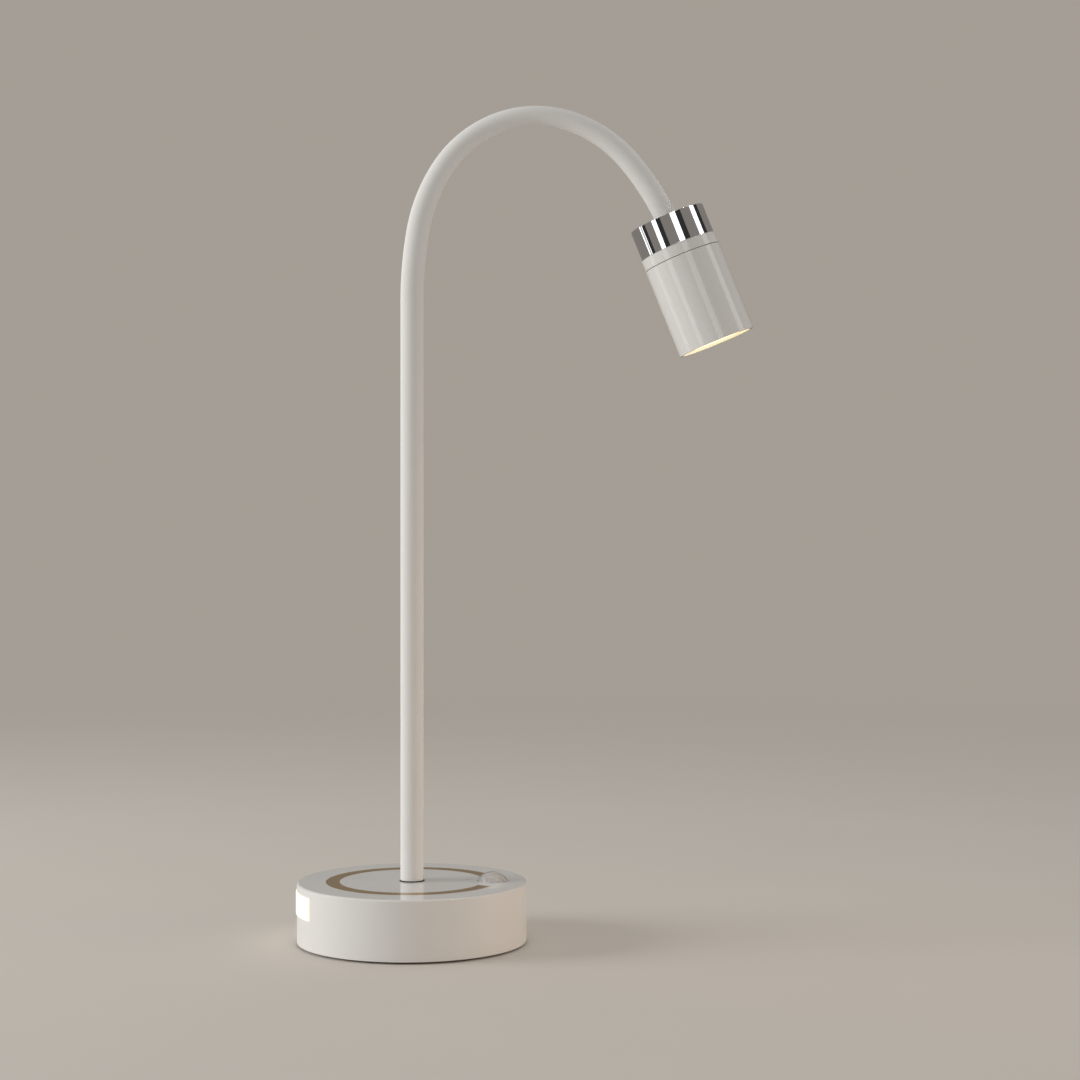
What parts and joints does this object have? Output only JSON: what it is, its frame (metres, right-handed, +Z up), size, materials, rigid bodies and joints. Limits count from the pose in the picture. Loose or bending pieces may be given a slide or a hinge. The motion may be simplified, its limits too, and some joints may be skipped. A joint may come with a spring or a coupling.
{
  "type": "gooseneck desk lamp",
  "caption": "Gooseneck desk lamp: round weighted base with touch top, motion sensor and night light, flexible neck, and a cylindrical spot head.",
  "frame": {"origin": "centre of the rubber foot's underside, on the table", "axes": "+Z up along the straight stem, +X towards the lamp head, +Y to the rear, where the charging port and the mode switch are"},
  "size_m": [0.1995, 0.1002, 0.3659],
  "materials": {
    "white_gloss": "gloss white moulded plastic",
    "silicone": "satin white silicone",
    "conduit_steel": "wound strip steel",
    "foot_rubber": "matt black rubber",
    "grey_plastic": "grained grey plastic",
    "bronze": "satin bronze",
    "clear_lens": "clear moulded lens",
    "steel": "zinc plated",
    "circuit_board": "green solder mask",
    "board_chips": "moulded chip bodies",
    "switch_knob": "satin black",
    "cell_foil": "laminate pouch",
    "red_wire": "insulated wire",
    "window_diffuser": "frosted, lit warm",
    "led_yellow": "phosphor",
    "cast_weight": "turned steel",
    "lead_jacket": "thin lead",
    "chrome": "mirror chrome",
    "sink_aluminium": "turned aluminium",
    "white_board": "white solder mask",
    "reflector_mirror": "bright reflector",
    "head_diffuser": "frosted, lit warm"
  },
  "bodies": {
    "base": {"foot_pad": "foot_rubber", "base_cover": "grey_plastic", "base_screws": "steel", "base_shell": "white_gloss", "accent_ring": "bronze", "pir_lens": "clear_lens", "pir_sensor": "steel", "main_board": "circuit_board", "board_parts": "board_chips", "touch_spring": "steel", "usb_c_port": "steel", "mode_switch_body": "grey_plastic", "battery": "cell_foil", "battery_lead": "red_wire", "night_light_window": "window_diffuser", "night_light_board": "circuit_board", "night_light_leds": "led_yellow", "ballast": "cast_weight", "ballast_screws": "steel", "base_ferrule": "steel", "base_lock_nut": "steel", "lamp_lead": "lead_jacket", "neck_sleeve_1": "silicone", "neck_conduit_1": "conduit_steel"},
    "mode_switch": {"mode_switch_slider": "switch_knob"},
    "neck_2": {"neck_sleeve_2": "silicone", "neck_conduit_2": "conduit_steel"},
    "neck_3": {"neck_sleeve_3": "silicone", "neck_conduit_3": "conduit_steel"},
    "neck_4": {"neck_sleeve_4": "silicone", "neck_conduit_4": "conduit_steel"},
    "neck_5": {"neck_sleeve_5": "silicone", "neck_conduit_5": "conduit_steel"},
    "neck_6": {"neck_sleeve_6": "silicone", "neck_conduit_6": "conduit_steel"},
    "neck_7": {"neck_sleeve_7": "silicone", "neck_conduit_7": "conduit_steel"},
    "neck_8": {"neck_sleeve_8": "silicone", "neck_conduit_8": "conduit_steel"},
    "neck_9": {"neck_sleeve_9": "silicone", "neck_conduit_9": "conduit_steel"},
    "neck_10": {"neck_sleeve_10": "silicone", "neck_conduit_10": "conduit_steel"},
    "neck_11": {"neck_sleeve_11": "silicone", "neck_conduit_11": "conduit_steel"},
    "head": {"neck_sleeve_12": "silicone", "neck_conduit_12": "conduit_steel", "chrome_collar": "chrome", "head_cap": "white_gloss", "head_shell": "white_gloss", "head_ferrule": "steel", "head_lock_nut": "steel", "heat_sink": "sink_aluminium", "led_board": "white_board", "led_chip": "led_yellow", "led_screws": "steel", "reflector": "reflector_mirror", "front_diffuser": "head_diffuser"}
  },
  "joints": [
    {"name": "neck_bend_1", "type": "hinge", "parent": "base", "child": "neck_2", "pos_m": [0, 0, 0.0712], "axis": [1, 0, 0], "range_deg": [-45, 45], "deforming": ["neck_sleeve_1", "lamp_lead"]},
    {"name": "neck_bend_2", "type": "hinge", "parent": "neck_2", "child": "neck_3", "pos_m": [0, 0, 0.1157], "axis": [0, 1, 0], "range_deg": [-45, 45], "deforming": ["neck_sleeve_2"]},
    {"name": "neck_bend_3", "type": "hinge", "parent": "neck_3", "child": "neck_4", "pos_m": [0, 0, 0.1602], "axis": [-1, 0, 0], "range_deg": [-45, 45], "deforming": ["neck_sleeve_3"]},
    {"name": "neck_bend_4", "type": "hinge", "parent": "neck_4", "child": "neck_5", "pos_m": [0, 0, 0.2047], "axis": [0, -1, 0], "range_deg": [-45, 45], "deforming": ["neck_sleeve_4"]},
    {"name": "neck_bend_5", "type": "hinge", "parent": "neck_5", "child": "neck_6", "pos_m": [0, 0, 0.2492], "axis": [1, 0, 0], "range_deg": [-45, 45], "deforming": ["neck_sleeve_5"]},
    {"name": "neck_bend_6", "type": "hinge", "parent": "neck_6", "child": "neck_7", "pos_m": [0, 0, 0.28015], "axis": [0, 1, 0], "range_deg": [-50, 40], "deforming": ["neck_sleeve_6"]},
    {"name": "neck_bend_7", "type": "hinge", "parent": "neck_7", "child": "neck_8", "pos_m": [0.00269, 0, 0.31094], "axis": [0, -1, 0], "range_deg": [-27, 60], "deforming": ["neck_sleeve_7"]},
    {"name": "neck_bend_8", "type": "hinge", "parent": "neck_8", "child": "neck_9", "pos_m": [0.01432, 0, 0.33937], "axis": [0, 1, 0], "range_deg": [-60, 15], "deforming": ["neck_sleeve_8"]},
    {"name": "neck_bend_9", "type": "hinge", "parent": "neck_9", "child": "neck_10", "pos_m": [0.03841, 0, 0.35802], "axis": [0, -1, 0], "range_deg": [-8, 60], "deforming": ["neck_sleeve_9"]},
    {"name": "neck_bend_10", "type": "hinge", "parent": "neck_10", "child": "neck_11", "pos_m": [0.06879, 0, 0.35855], "axis": [0.309, 0, 0.9511], "range_deg": [-45, 45], "deforming": ["neck_sleeve_10"]},
    {"name": "neck_bend_11", "type": "hinge", "parent": "neck_11", "child": "head", "pos_m": [0.09428, 0, 0.34167], "axis": [0, 1, 0], "range_deg": [-60, 20], "deforming": ["neck_sleeve_11", "neck_sleeve_12"]},
    {"name": "mode_switch_slide", "type": "slide", "parent": "base", "child": "mode_switch", "axis": [1, 0, 0], "range_m": [-0.002, 0.002]}
  ]
}
